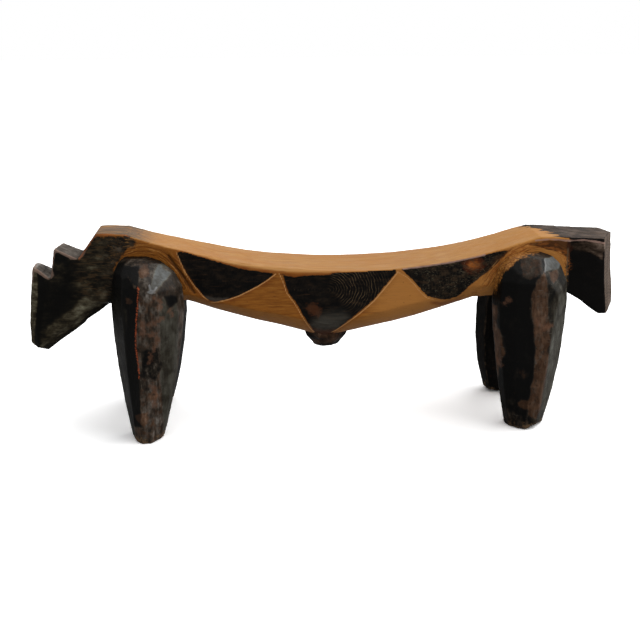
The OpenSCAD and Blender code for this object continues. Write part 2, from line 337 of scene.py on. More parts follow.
def averaged(values, edges, rounds):
    """Values spread to their neighbours along the mesh."""
    count = np.bincount(edges.ravel(), minlength=len(values))[:, None]
    v = values.reshape(len(values), -1)
    for _ in range(rounds):
        total = np.zeros_like(v)
        for k in range(v.shape[1]):
            total[:, k] = np.bincount(edges[:, 0], v[edges[:, 1], k], len(v))
            total[:, k] += np.bincount(edges[:, 1], v[edges[:, 0], k], len(v))
        v = (v + total) / (count + 1)
    return v.reshape(values.shape)


def sharpness(mesh):
    """How far the wood stands out from its surroundings: positive on edges, negative in creases."""
    co, edges = points_of(mesh), numbers(mesh.edges, "vertices", 2, np.int64)
    around = averaged(co, edges, 6)
    out = ((co - around) * normals_of(mesh)).sum(1)
    return averaged(out, edges, 2)


def put(mesh, **attributes):
    """Values at the mesh's points, which the materials read by name."""
    for name, values in attributes.items():
        rows = np.ones(len(mesh.vertices)) * values
        attribute = mesh.attributes.new(name, "FLOAT", "POINT")
        attribute.data.foreach_set("value", rows.astype(np.float32))


# Dark fields on the flanks, as outlines in the side view

FIELDS = [[
    (-116.4, 137.5), (-115.8, 139.4), (-113.6, 140.5), (-107.6, 139.6), (-99, 136), (-89.6, 133.2),
    (-79.6, 130), (-72.3, 127.5), (-66.2, 126), (-56.1, 124.5), (-43, 122.2), (-49.4, 116.8),
    (-56.4, 112.6), (-63.2, 109.2), (-70.1, 105.7), (-77, 103.3), (-83.9, 101.6), (-88, 100.4),
    (-94.6, 102.6), (-97.3, 105.6), (-102.6, 112.4), (-107, 118.7), (-111.5, 127.8)
], [
    (-36.8, 122.2), (-34, 120.6), (-28.9, 119.4), (-17.3, 120.6), (-1, 120.7), (1.5, 122.6),
    (2.1, 128), (49.5, 130), (49.9, 120.8), (45.3, 115.6), (38.4, 107.3), (32.5, 100.2),
    (23.7, 92.4), (14.8, 85.2), (6.3, 77.5), (2.5, 72), (2, 60), (-12, 60), (-12.5, 72.5),
    (-15, 77.4), (-21.1, 88.4), (-26.3, 98.2), (-32.4, 106.8)
], [
    (52.5, 130), (53.3, 124.4), (59.6, 118.7), (65.2, 112.9), (70.2, 106.4), (75.1, 102),
    (80.3, 100.8), (85.7, 98.6), (91.7, 98.2), (96.7, 99.4), (99.8, 101), (106.4, 109),
    (113.9, 115), (120.7, 119.8), (127.5, 125.9), (132.9, 131.5), (138, 137), (127.1, 135.8),
    (120, 134.6), (113.4, 133.4), (106.4, 132.4), (104, 140)
]]
HEAD_FIELD = [
    (-260, 200), (-179.5, 200), (-178.4, 152.6), (-169.8, 152.2), (-162.2, 152), (-152.5, 151.2),
    (-144.9, 148.8), (-149.7, 143.4), (-154, 140.8), (-159.2, 135), (-164.2, 129), (-164, 60),
    (-260, 40)
]
# Pale lines cut along the borders of the fields
CUTS = [
    [(-41.9, 122.2), (-49.4, 116.4), (-56.4, 112.1), (-63.2, 108.6), (-70.1, 105.2),
        (-77, 102.7), (-84.4, 100.9), (-92, 99.2)],
    [(-39.5, 122.4), (-37, 117), (-33.8, 106.8), (-27.6, 98), (-22.4, 88.2), (-16.2, 76.8),
        (-12.5, 71.5)],
    [(50.6, 120.8), (46.2, 115), (39.3, 106.7), (33.3, 99.5), (24.5, 91.6), (15.6, 84.4),
        (7.2, 77), (1, 71.5)],
    [(51, 122.2), (58.4, 117.6), (64.1, 111.8), (69.1, 105.2), (74.4, 100.6), (79.9, 98.9)],
    [(-116.9, 140), (-112.4, 127.8), (-107.8, 118.4), (-103.3, 112), (-98, 105.2),
        (-94, 101.5)],
]
# Strokes of the knife where the flank meets the tops of the legs
FRONT_ARC = [
    (-165.7, 132.2), (-159.5, 135.7), (-153.2, 138.8), (-146.3, 140.7), (-138.8, 139.9),
    (-131.4, 137.6), (-125.5, 132.9), (-120.5, 127.4), (-116.2, 121.2), (-112, 111.7)
]
HIND_ARC = [
    (114, 100), (121.2, 106.4), (126, 116.4), (133.5, 125.2), (142.1, 132.6), (152.1, 137),
    (161.7, 138.1), (171.4, 136.2), (180, 130.5), (184, 121)
]
GOUGE = [(-123, 137), (-119.5, 131.5), (-114.6, 124.3), (-110.3, 117.2), (-104.5, 108)]
RIM_EDGE = [
    (158, 143.8), (168.9, 144.4), (185.6, 142.6), (196.2, 142.9), (205.1, 141.6), (214, 139.4)
]
RIM_FOOT = [(186.5, 135.2), (198, 132.8), (203.8, 132), (213.5, 126)]
# The brow's and the crest's upper edge, and the band of bare wood along the jaw
BROW_EDGE = [
    (-190.5, 135), (-187.1, 139.2), (-182.5, 146.2), (-177, 153), (-168.5, 153.7), (-158.4, 153.4),
    (-149, 152.2)
]
JAW_BAND = [
    (-221.5, 78), (-217.6, 81.5), (-203.5, 92.8), (-189.3, 104.4), (-177.3, 112.5), (-169, 112),
    (-173, 99), (-181.5, 93.5), (-192.5, 84.7), (-205.4, 76), (-220.6, 65.8), (-226, 62)
]
# The snout's front edge in the side view, and the stretch of the saddle's rim that carries a
# painted highlight
SNOUT_Z = [72, 89.8, 106, 119.3, 128]
SNOUT_EDGE_X = [-229, -225.9, -223.3, -222.6, -224]
PALE_EDGE = (52, 122)
# Patches of another colour: orange, brown and worn ones in the scorched wood, a grey painted
# reflection of the floor low in the middle field, a reddish one at the tail's root, and a toasted
# one below the right-hand field
PATCHES = {
    "amber": [[(102.3, 127.8), (106.8, 131.2), (113, 131.5), (117.8, 127.4), (116.4, 122.7),
        (110.3, 120.1), (104, 122.2)]],
    "brown": [[(-17.7, 98.2), (-13.1, 98.9), (-7.8, 93.9), (-8.6, 87.6), (-14.7, 88.5),
        (-18.6, 93.4)],
        [(-14, 60), (-14, 76.5), (-4, 75), (6, 76), (4, 60)]],
    "floor_reflection": [[(-16.3, 80), (-9, 90.6), (0.8, 94.2), (10.7, 93.3), (15.6, 85.8), (6.3, 76),
        (-10.8, 75.4)]],
    "notch": [[(-97.5, 105.4), (-88, 103.4), (-78.8, 103.5), (-87.9, 99.4), (-95.5, 101.5)]],
    "russet": [[(154, 141), (168.9, 143.6), (176.7, 143.8), (184.7, 142.2), (189, 135),
        (184.2, 129.3), (178.2, 134.2), (165, 137.4)]],
    "toasted": [[(78, 97), (92, 97), (104, 101), (101, 93.5), (90, 90.5), (82, 92.5)]],
}
# The heart of the growth rings, and how far apart the rings and the strokes lie
RING_CENTRE = (-3.3, 108.9)
RING_PITCH = 2.6
STROKE_PITCH = 2.1
# The strokes turn about these, and their arcs close this far below their ends
FRONT_CENTRE = (-136, 98)
HIND_CENTRE = (150, 92)
ARC_DROP = 30


# The body: head, beam and tail as one skin, carved and then split into its pieces

def head_overlap(co):
    """The head, let into the beam; its steps stand a little askew, further back on the right."""
    co = co.copy()
    joined = co[:, 0] > NECK_X - NUDGE
    askew = fall(-208, NECK_X, co[:, 0])
    first = fall(-224, -214, co[:, 0])
    co[:, 0] += askew * (0.1 - 0.07 * first) * (co[:, 1] + 15) - 0.8 * first
    step = hump(-218, -205, 3, co[:, 0]) * smooth(118, 121, co[:, 2])
    co[:, 0] -= 2.2 * step
    co[joined, 0] += OVERLAP
    return co


def tail_overlap(co):
    """The tail, let into the beam; its end face swells a little."""
    co = co.copy()
    x, y, z = co.T
    low = fall(80, 100, z)
    co[:, 0] += 1.6 * smooth(205, TAIL_X, x)
    co[:, 2] -= 3 * smooth(0, 18, y) * smooth(222, 232, x) * low
    co[co[:, 0] < ROOT_X + NUDGE, 0] -= OVERLAP
    return co


def round_edges(co):
    """The edges along the saddle are rubbed round, most where the neck rests."""
    x, y, z = co.T
    near = 1.3 + 3.4 * hump(-95, 2, 22, x)
    far = 1 + 0.5 * hump(-60, 70, 30, x)
    r = np.where(y < 0, near, far)
    inner_y = flank_y(x) - r
    inner_z = top_z(x) - r
    dy, dz = np.abs(y) - inner_y, z - inner_z
    size = np.hypot(dy, dz)
    act = (dy > 0) & (dz > 0) & (size > r) & (x > CREST_X + 6) & (x < ROOT_X)
    scale = np.where(act, r / np.maximum(size, 1e-6), 1)
    co = co.copy()
    co[:, 1] = np.where(act, np.sign(y) * (inner_y + dy * scale), y)
    co[:, 2] = np.where(act, inner_z + dz * scale, z)
    return co


def outward(x, z, path):
    """Distance outside an arc of strokes round a leg's top, negative within it."""
    away = segment_distance(x, z, path)
    ends = np.array([path[0], path[-1]])
    inside = area_distance(x, z, path + [tuple(ends.mean(0) - (0, ARC_DROP))]) < 0
    return np.where(inside, -away, away)


def snout_x(z):
    """The snout's front edge on its left side, by height."""
    return np.interp(z, SNOUT_Z, SNOUT_EDGE_X)


def carve_body(mesh):
    co = round_edges(points_of(mesh))
    set_points(mesh, co)
    no = normals_of(mesh)
    x, y, z = co.T
    flank = fall(0.45, 0.75, no[:, 2])
    field = nearest(area_distance, x, z, FIELDS)
    head = area_distance(x, z, HEAD_FIELD)
    ends = np.maximum(fall(-2, 2, head), smooth(ROOT_X - 1, ROOT_X + 1, x))
    burnt = fall(-0.9, 0.5, field) * flank
    cut = nearest(segment_distance, x, z, CUTS)
    groove = fall(0.2, 0.9, cut) * flank
    front = outward(x, z, FRONT_ARC)
    hind = outward(x, z, HIND_ARC)
    gouge = segment_distance(x, z, GOUGE)
    rings = np.hypot((x - RING_CENTRE[0]) * 0.8, z - RING_CENTRE[1])
    wobble = value_noise(co, 26, 3) * 0.26 + value_noise(co, 9, 4) * 0.08
    gouges = cell_distance(co, (7, 4, 4.5), 11)
    ring_line = np.sin(rings * 2 * math.pi / RING_PITCH)
    knife = cell_distance(co, (11, 7, 8), 21)
    move = wobble
    move += burnt * (-0.45 + 0.25 * gouges + 0.06 * ring_line)
    move -= groove * 0.25
    move += ends * flank * (0.38 * knife - 0.25)
    # Strokes beside the legs: a shallow trough with a burr, and a deeper gouge at the front
    strokes = np.sin(np.clip(front, -1, 4.2) * 2 * math.pi / STROKE_PITCH)
    move += 0.2 * strokes * hump(0, 3.6, 0.6, front) * flank * (x > -168)
    move -= 0.9 * fall(0.3, 2, gouge) * flank
    rough = value_noise(co, (3, 3, 2), 5)
    move += 0.45 * rough * hump(-1, 4.5, 1.5, hind) * flank
    # The rim along the tail's top overhangs hollowed flanks
    rim = segment_distance(x, z, RIM_FOOT)
    move -= 0.5 * fall(0.5, 2.5, rim) * flank * (x > 184)
    co = co + no * move[:, None]
    # The tail's tip is thick and blunt below, and its far upper corner is worn away
    below = fall(-0.5, -0.2, no[:, 2])
    co[:, 2] -= 1.9 * smooth(196, 210, x) * below
    co[:, 2] -= 1.2 * hump(-184, -162, 7, x) * below
    co[:, 0] += 1.8 * smooth(212, 222, x) * fall(84, 116, z)
    co[:, 0] += 1.3 * fall(-226, -218, x) * fall(70, 86, z)
    tip = smooth(204, 210, x) * (z < 95)
    co[:, 2] = np.maximum(co[:, 2], 82 * tip)
    co[:, 2] -= 3 * smooth(220, 233, x) * smooth(0, 20, y) * smooth(128, 140, z)
    # The top's far edge is the higher one over the saddle
    above = smooth(0.6, 0.8, no[:, 2])
    co[:, 2] += 0.8 * smooth(-5, 22, y) * above * hump(-110, 62, 30, x)
    # The snout's front corner is cut off, and its top falls away to the right
    nose = x < -214
    limit = co[nose, 1].min() + 0.5 * np.maximum(snout_x(z) - co[:, 0], 0)
    co[:, 1] = np.where(nose, np.maximum(co[:, 1], limit), co[:, 1])
    co[:, 2] -= 2 * nose * smooth(-4, 14, y) * smooth(116, 122, z)
    set_points(mesh, co)
    lift = (1 - flank) * 3
    inward = np.maximum(flank_y(np.maximum(x, NECK_X)) - np.abs(y), 0)
    bare_edge = smooth(4, 14, x) * (1 - 0.95 * smooth(84, 108, x))
    over = np.maximum(field, 0) + 1.2 + 1.5 * inward + 5 * bare_edge
    centre_x, centre_z = (np.where(x < 0, *pair) for pair in zip(FRONT_CENTRE, HIND_CENTRE))
    put(mesh, field=np.where(flank > 0.4, field, over), head=head, cut=cut + lift, rings=rings,
        turn=np.arctan2(z - RING_CENTRE[1], x - RING_CENTRE[0]), gouge=gouge + lift,
        arc=np.where(flank > 0.3, np.where(x < 0, front, hind), 30),
        sweep=np.arctan2(z - centre_z, x - centre_x), edge=sharpness(mesh),
        tone=body_tone(co, no))
    for name, outlines in PATCHES.items():
        away = np.maximum(nearest(area_distance, x, z, outlines), -6)
        put(mesh, **{name: away + lift * (name != "brown")})
    # Distance to the lines of painted highlight: along the tail's rim, and along the stretch of the
    # saddle's rim
    rim_line = segment_distance(x, z, RIM_EDGE) + lift + 9 * (y > 0)
    edge_line = np.hypot(z - top_z(x) + 0.8, np.maximum(inward - 0.6, 0))
    edge_line += 6 * (1 - hump(*PALE_EDGE, 4, x))
    brow = segment_distance(x, z, BROW_EDGE)
    brow = np.hypot(brow, 0.7 * np.maximum(inward - 0.8, 0))
    on_top = smooth(0.55, 0.85, no[:, 2])
    put(mesh, rim=np.minimum(rim_line, edge_line), brow=brow + 3 * smooth(0.88, 0.97, no[:, 2]),
        tail=toward(x - 184, x - 167 + 0.38 * y, on_top))


def body_tone(co, no):
    """How light the stain is: 0 is black and 1 is a worn grey. Worn faces are paler, and painted
    light makes faces paler or darker by how they turn to the light.
    """
    x, y, z = co.T
    head = fall(NECK_X - 3, NECK_X + 3, x)
    tail = smooth(ROOT_X - 3, ROOT_X + 3, x)
    flank = smooth(0.5, 0.85, np.abs(no[:, 1]))
    tone = 0.24 + 0.06 * value_noise(co, (16, 16, 12), 61)
    # The flank of the head is blackest between its steps and its jaw
    core = hump(-222, -198, 6, x) * hump(78, 119, 7, z)
    tone -= 0.16 * core * flank
    ragged = 2.2 * value_noise(co, (4, 4, 3), 62)
    jaw = fall(-2.5, 2, area_distance(x, z, JAW_BAND) + ragged)
    tone += 0.32 * jaw
    behind = x - snout_x(z)
    tone = toward(tone, 0.6, fall(-0.5, 0.4, behind))
    tone -= 0.22 * hump(0, 4.5, 1.2, behind) * (z < 124)
    # Partly wear, partly painted light from above: the head's upward faces are paler
    tone += 0.4 * head * smooth(0.4, 0.8, no[:, 2])
    crest = hump(-190, -146, 5, x) * smooth(110, 126, z)
    tone += 0.14 * crest * flank
    # Under the rim of the tail a worn band; below it, painted shade makes the tail's sideways faces
    # black down to the tip
    rim = area_distance(x, z, RIM_EDGE + RIM_FOOT[::-1]) + 0.5 * ragged
    band = fall(-0.8, 0.8, rim) * (y < 0) * smooth(184, 187, x)
    # Painted shade on the tail's sideways faces
    tone -= 0.22 * tail * flank * (1 - band)
    tone = toward(tone, 0.4 + 0.3 * smooth(190, 204, x), band)
    # Painted light: the tail's upward faces are paler
    tone += 0.26 * smooth(160, 170, x) * smooth(0.7, 0.9, no[:, 2])
    # Painted reflection of the floor: the snout's downward faces are paler
    tone += 0.34 * fall(-0.85, -0.5, no[:, 2]) * (x < -206)
    # Painted light: the tail's faces turned to the right, toward the light, are paler
    return tone + 0.53 * tail * smooth(0.6, 0.85, no[:, 0])


def split_piece(mesh, name, cuts):
    """A closed part of the body between planes across its length."""
    bm = bmesh.new()
    bm.from_mesh(mesh)
    for x, side in cuts:
        geom = bm.verts[:] + bm.edges[:] + bm.faces[:]
        cut = bmesh.ops.bisect_plane(bm, geom=geom, plane_co=(x, 0, 0),
                                     plane_no=(side, 0, 0), clear_outer=True, dist=1e-5)
        rim = [e for e in cut["geom_cut"] if isinstance(e, bmesh.types.BMEdge)]
        cap = bmesh.ops.edgeloop_fill(bm, edges=rim)["faces"]
        bmesh.ops.triangulate(bm, faces=cap)
    piece = bpy.data.meshes.new(name)
    bm.to_mesh(piece)
    bm.free()
    flow = numbers(piece.attributes["flow"].data, "vector", 3, np.float32)
    flow /= np.linalg.norm(flow, axis=1)[:, None]
    corner = flow[numbers(piece.loops, "vertex_index", 1, np.int64)[:, 0]]
    for face in piece.polygons:
        if any(abs(face.center.x - x) < 1e-3 for x, _ in cuts) and abs(face.normal.x) > 0.99:
            corner[face.loop_start:face.loop_start + face.loop_total] = face.normal
    piece.shade_smooth()
    piece.normals_split_custom_set(corner.tolist())
    piece.attributes.remove(piece.attributes["flow"])
    return piece


def finish_piece(mesh, name, node, material):
    mesh.transform(Matrix.Scale(MM, 4))
    mesh.update()
    obj = bpy.data.objects.new(name, mesh)
    scene.collection.objects.link(obj)
    mesh.materials.clear()
    mesh.materials.append(material)
    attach(obj, "root")
    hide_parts(node)
    return obj


# Materials

def rgb(r, g, b):
    """A colour written as it looks on a screen, from 0 to 255."""
    c = np.array([r, g, b], float) / 255
    c = np.where(c <= 0.04045, c / 12.92, ((c + 0.055) / 1.055) ** 2.4)
    return (float(c[0]), float(c[1]), float(c[2]), 1)


class Value:
    """A value or a colour in a node tree; calculating with it adds nodes."""

    def __init__(self, tree, socket):
        self.tree = tree
        self.socket = socket

    def __add__(self, other):
        return self.tree.math("ADD", self, other)

    def __sub__(self, other):
        return self.tree.math("SUBTRACT", self, other)

    def __mul__(self, other):
        return self.tree.math("MULTIPLY", self, other)

    def step(self, low, high, at_low, at_high):
        """A smooth change from one number to another between low and high."""
        node = self.tree.node("ShaderNodeMapRange", {
            "Value": self, "From Min": low, "From Max": high, "To Min": at_low, "To Max": at_high})
        node.interpolation_type = "SMOOTHSTEP"
        return Value(self.tree, node.outputs["Result"])

    def rise(self, low, high, share=1):
        return self.step(low, high, 0, share)

    def fall(self, low, high, share=1):
        return self.step(low, high, share, 0)

    def ramp(self, *stops):
        """A colour by the value; each stop is a place with its red, green and blue."""
        node = self.tree.node("ShaderNodeValToRGB", {"Fac": self})
        elements = node.color_ramp.elements
        while len(elements) < len(stops):
            elements.new(0.5)
        for element, (at, *colour) in zip(elements, stops):
            element.position = at
            element.color = rgb(*colour)
        return Value(self.tree, node.outputs["Color"])

    def mix(self, share, other):
        return self.tree.mix(share, self, other)

    def paint(self, share, r, g, b):
        return self.tree.mix(share, self, rgb(r, g, b))

    def tint(self, r, g, b):
        return self.tree.mix(1, self, rgb(r, g, b), "MULTIPLY")


class Tree:
    """The nodes of a material or of the world, and short calls that add to them."""

    def __init__(self, owner, coordinates):
        owner.use_nodes = True
        self.owner = owner
        self.nodes = owner.node_tree.nodes
        self.nodes.clear()
        self.place = self.value("ShaderNodeTexCoord", coordinates, {})

    def node(self, kind, inputs):
        """A new node with its inputs set or linked."""
        node = self.nodes.new(kind)
        self.feed(node, inputs)
        return node

    def feed(self, node, inputs):
        for name, value in inputs.items():
            if isinstance(value, Value):
                self.owner.node_tree.links.new(value.socket, node.inputs[name])
            else:
                node.inputs[name].default_value = value

    def value(self, kind, output, inputs):
        return Value(self, self.node(kind, inputs).outputs[output])

    def math(self, kind, a, b=0):
        node = self.node("ShaderNodeMath", {0: a, 1: b})
        node.operation = kind
        return Value(self, node.outputs[0])

    def most(self, a, b):
        return self.math("MAXIMUM", a, b)

    def attr(self, name):
        node = self.node("ShaderNodeAttribute", {})
        node.attribute_name = name
        return Value(self, node.outputs["Fac"])

    def mix(self, share, a, b, kind="MIX"):
        node = self.nodes.new("ShaderNodeMix")
        node.data_type = "RGBA"
        node.blend_type = kind
        self.feed(node, {"Factor": share, "A": a, "B": b})
        return Value(self, node.outputs["Result"])

    def axis(self, name):
        return self.value("ShaderNodeSeparateXYZ", name, {"Vector": self.place})

    def facing(self, name):
        """How far the surface itself faces along an axis of the object."""
        normal = self.value("ShaderNodeNewGeometry", "Normal", {})
        return self.value("ShaderNodeSeparateXYZ", name, {"Vector": normal})

    def noise_at(self, place, detail, rough, warp):
        return self.value("ShaderNodeTexNoise", "Fac", {
            "Vector": place, "Scale": 1, "Detail": detail, "Roughness": rough,
            "Distortion": warp})

    def noise(self, size, detail=2, rough=0.5, shift=(0, 0, 0), warp=0):
        """Noise from 0 to 1 in cells of the given size, in millimetres."""
        place = self.value("ShaderNodeMapping", "Vector", {
            "Vector": self.place, "Scale": [1 / (s * MM) for s in size], "Location": shift})
        return self.noise_at(place, detail, rough, warp)

    def stray(self, reach, *noise):
        """Noise about zero, to half of reach on either side."""
        return (self.noise(*noise) - 0.5) * reach

    def shade(self, colour, rough, height, depth, sheen):
        bump = self.value("ShaderNodeBump", "Normal", {
            "Strength": 1, "Distance": depth * MM, "Height": height})
        shader = self.value("ShaderNodeBsdfPrincipled", "BSDF", {
            "Base Color": colour, "Roughness": rough, "Specular IOR Level": sheen,
            "Normal": bump})
        self.node("ShaderNodeOutputMaterial", {"Surface": shader})
        return self.owner


BLACK = (7, 6, 5)
CHAR = (24, 20, 16)
UMBER = (52, 44, 36)
# The worn grey also serves for painted sheen on faces turned to the light
WORN_AND_SHEEN = (92, 84, 76)
CHALK = (140, 134, 128)
RUST = (178, 84, 48)
BARE = (118, 94, 68)
BODY_SHEEN = 0.1
LEG_SHEEN = 0.11
# Depth of the fine grain, in millimetres
BODY_GRAIN = 0.3
LEG_GRAIN = 0.26


def stain(m, tone, mottle, patches, grain):
    """The stain's colour from black to worn grey, by its tone, which also carries painted light and
    shade; mottle tells how broken up it is.
    """
    shift = m.stray(0.5, (11, 11, 14), 3, 0.6, (5, 2, 7))
    shift = shift + m.stray(2.2, patches, 4, 0.62, (1, 8, 3)) * mottle
    shift = shift + m.stray(0.8, grain, 3, 0.6, (6, 1, 1)) * (mottle * 0.6 + 0.2)
    level = tone + shift * tone.step(-0.05, 0.3, 0.3, 1)
    return level.ramp((0.06, *BLACK), (0.26, *CHAR), (0.47, *UMBER), (0.72, *WORN_AND_SHEEN), (0.98, *CHALK))


def scorched(m):
    """The scorched wood of the fields: black, with fine growth rings and brown remains."""
    low = m.noise((16, 9, 6), 3, 0.6, (3, 1, 2))
    base = low.ramp((0.4, 5, 4, 4), (0.58, 13, 10, 8), (0.74, 36, 27, 19))
    fibre = m.noise((13, 1.2, 1.1), 3, 0.65)
    base = base.paint(fibre.rise(0.55, 0.74, 0.5), 72, 50, 32)
    rings, turn = m.attr("rings"), m.attr("turn")
    ring = m.math("SINE", (rings + m.noise((7, 7, 7)) * 3.5) * 3.6).rise(0.65, 1)
    # The rings stand out above the heart and to its right, and fade a thumb's width away
    near = turn.rise(-0.9, -0.3) * turn.fall(0.8, 1.6)
    near = near * rings.step(24, 42, 1, 0.1) * rings.step(3, 12, 0.25, 1)
    broken = m.noise((6, 6, 5), 3, 0.6, (3, 3, 3)).step(0.36, 0.62, 0.12, 1)
    return base.paint(ring * (near * 0.6 + 0.02) * broken, 124, 102, 74)


def patch(m, name, low, high, wander, size):
    """A patch's cover from its distance attribute, with a wandering border."""
    return (m.attr(name) + m.stray(wander, size, 3, 0.6, (2, 5, 1))).fall(low, high)


def body_material(name):
    m = Tree(bpy.data.materials.new(name), "Object")
    field, cut, arc, tail = (m.attr(n) for n in ("field", "cut", "arc", "tail"))
    x, y, z = (m.axis(n) * 1000 for n in "XYZ")
    up = m.facing("Z")
    # The rubbed saddle: pale honey with a long fine grain
    grain = m.noise((58, 1, 1.4), 3, 0.55)
    honey = grain.ramp((0.3, 154, 106, 54), (0.5, 173, 124, 69), (0.7, 187, 141, 86))
    wide = m.noise((70, 16, 16), 2, 0.5, (2, 3, 1))
    honey = honey.paint(wide.rise(0.35, 0.7, 0.35), 166, 104, 44)
    honey = honey.paint(x.rise(60, 160, 0.45), 190, 132, 62)
    pores = m.noise((6, 0.45, 0.45), 1, 0.5, (1, 1, 4))
    honey = honey.paint(pores.rise(0.68, 0.76, 0.3), 112, 66, 28)
    # The flanks are browner, with broken fibres and small dark nicks
    side = up.fall(0.35, 0.75)
    fibres = m.noise((16, 1.3, 1.3), 4, 0.68, (7, 0, 3))
    tone = fibres.ramp((0.32, 118, 68, 22), (0.52, 160, 98, 34), (0.7, 182, 122, 52))
    tone = tone.paint(x.fall(-110, 40, 0.42), 128, 70, 18)
    bulge = m.noise((24, 9, 9), 3, 0.55, (9, 2, 1))
    tone = tone.paint(bulge.rise(0.42, 0.68, 0.5), 172, 106, 36)
    # Painted light: faces turned down are paler, as if lit by light thrown back from the floor
    tone = tone.paint(up.fall(-0.75, -0.2, 0.55), 176, 122, 66)
    tone = tone.paint(x.rise(15, 50, 0.74), 204, 138, 70)
    nick = m.noise((2.6, 1, 1), 2, 0.5, (4, 4, 1))
    tone = tone.paint(nick.rise(0.66, 0.76, 0.45), 84, 44, 12)
    honey = honey.mix(side * 0.92, tone)
    # Heat has toasted the wood along the fields, most along their upper edges
    ragged = m.stray(2, (3, 3, 2.2), 3, 0.6)
    border = field + ragged
    dark = border.fall(-0.45, 0.45)
    blush = (m.noise((13, 8, 8), 2, 0.5, (8, 1, 1)) - 0.25) * 1.6
    toasted = border.fall(0, 5.5, 0.95) * blush * x.step(10, 60, 1, 0.45)
    toasted = m.most(toasted, patch(m, "toasted", -3, 2.5, 7, (7, 4, 3)) * 0.62)
    colour = honey.paint(toasted, 112, 48, 10).mix(dark, scorched(m))
    # Brown, orange and grey remains in the scorched wood, and a grey painted reflection of the
    # floor low in the middle field
    amber = patch(m, "amber", -1.8, 3, 9, (4, 4, 3))
    colour = colour.paint(amber * dark * 0.8, 92, 42, 16)
    flame = patch(m, "amber", -4.2, -0.8, 6, (5, 3, 1.6))
    colour = colour.paint(flame * dark * 0.85, 176, 102, 44)
    brown = patch(m, "brown", -2, 2, 9, (4, 4, 3))
    colour = colour.paint(brown * dark * 0.62, 92, 52, 28)
    # Painted reflection of the floor: grey low in the middle field, strongest near its bottom
    floor_reflection = patch(m, "floor_reflection", -5, 4, 8, (6, 4, 3))
    floor_reflection = floor_reflection * dark * z.step(79, 96, 1, 0.15) * fibres.step(0.3, 0.62, 0.55, 1)
    colour = colour.paint(floor_reflection * 0.86, 84, 80, 72)
    notch = patch(m, "notch", -1, 1.2, 2, (3, 3, 3))
    colour = colour.paint(notch * dark * 0.5, 92, 84, 76)
    # Fine specks of bare wood are scattered over the right-hand field
    specks = m.noise((1.9, 1, 0.8), 3, 0.75, (3, 1, 2), 0.8).rise(0.54, 0.66)
    thick = m.noise((9, 7, 7), 2, 0.5, (1, 4, 1)).rise(0.36, 0.58)
    colour = colour.paint(specks * thick * x.rise(56, 70) * dark * 0.66, 122, 112, 90)
    smoke = m.noise((7, 4, 3.5), 4, 0.65, (8, 2, 6)).rise(0.46, 0.66)
    colour = colour.paint(smoke * dark * x.step(50, 75, 0.14, 0.6), 70, 54, 38)
    colour = colour.paint((cut + ragged * 0.12).fall(0.16, 0.66, 0.88), 222, 164, 104)
    # Strokes of bare wood round the tops of the legs, and the dark gouge beside the front ones
    by_legs = arc.rise(-2.5, -0.5) * (arc + ragged * 1.5).fall(3, 10) * z.rise(104, 114)
    strand = m.value("ShaderNodeCombineXYZ", "Vector", {
        "X": (arc + ragged * 0.15) * 1.15, "Y": m.attr("sweep") * 3})
    strand = m.noise_at(strand, 4, 0.68, 0.4)
    colour = colour.paint(by_legs * strand.rise(0.52, 0.42, 0.75), 92, 50, 16)
    colour = colour.paint(by_legs * strand.rise(0.55, 0.66, 0.8), 214, 156, 92)
    colour = colour.paint((m.attr("gouge") + ragged).fall(0.2, 1.9, 0.8), 58, 30, 10)
    # Head and tail are stained, with a ragged border
    loose = m.stray(9, (5, 4, 5), 4, 0.65, (4, 4, 4))
    at_head = (m.attr("head") + loose).fall(-1.2, 1.2)
    wedges = m.stray(40, (30, 3.4, 6), 4, 0.62, (1, 7, 2))
    at_tail = (tail + loose * 1.1 + wedges * up.rise(0.6, 0.9)).rise(-0.9, 0.9)
    stained = m.most(at_head, at_tail)
    # End grain shows on the faces across the block
    ends = m.math("ABSOLUTE", m.facing("X")).rise(0.5, 0.8)
    mottle = up.step(0.5, 0.8, 0.62, 0.4) * (ends * -0.85 + 1)
    worn = stain(m, m.attr("tone"), mottle, (9, 6, 5), (18, 1.2, 1.2))
    off, depth = y + 16, z - 34
    heart = m.math("SQRT", off * off + depth * depth) + m.noise((12, 12, 12)) * 7
    end_rings = m.math("SINE", heart * 2.6).rise(-0.4, 0.9)
    worn = worn.paint(ends * end_rings * 0.42, 38, 31, 25)
    # The head is greener, the crest streaked and the tail browner
    worn = worn.mix(side * x.fall(-180, -150, 0.8), worn.tint(244, 248, 212))
    streaks = m.noise((14, 1.2, 1.6), 3, 0.6, (2, 2, 9)).rise(0.5, 0.62)
    crest = x.rise(-200, -184) * z.rise(96, 112) * x.fall(-150, -140)
    worn = worn.paint(crest * streaks * 0.36, 96, 72, 46)
    worn = worn.mix(x.rise(150, 170, 0.8), worn.tint(255, 226, 206))
    hairs = m.noise((4.5, 0.8, 0.7), 2, 0.6, (5, 3, 8)).rise(0.6, 0.68)
    hairs = hairs * x.rise(-176, -158) * x.fall(-130, -122) * z.rise(120, 130)
    worn = worn.paint(hairs * 0.65, 170, 122, 66)
    colour = colour.mix(stained, worn)
    # The crest's top is rubbed grey-brown
    rubbed = up.rise(0.6, 0.9) * x.fall(-152, -126) * x.rise(-186, -182)
    rubbed = rubbed * m.noise((26, 3, 3), 3, 0.6, (1, 1, 1)).rise(0.3, 0.52)
    colour = colour.paint(rubbed * 0.86, 84, 72, 60)
    russet = patch(m, "russet", -0.6, 1.2, 4.6, (8, 4, 2.2))
    colour = colour.paint(russet * 0.88, 56, 27, 12)
    # Rough orange wood over the hind leg
    torn = (arc + ragged).rise(-0.5, 0.5) * arc.fall(3, 7) * x.rise(90, 110)
    torn = torn * m.noise((5, 2, 1.6), 3, 0.65, (5, 1, 6)).rise(0.42, 0.6)
    colour = colour.paint(torn * 0.6, 158, 92, 38)
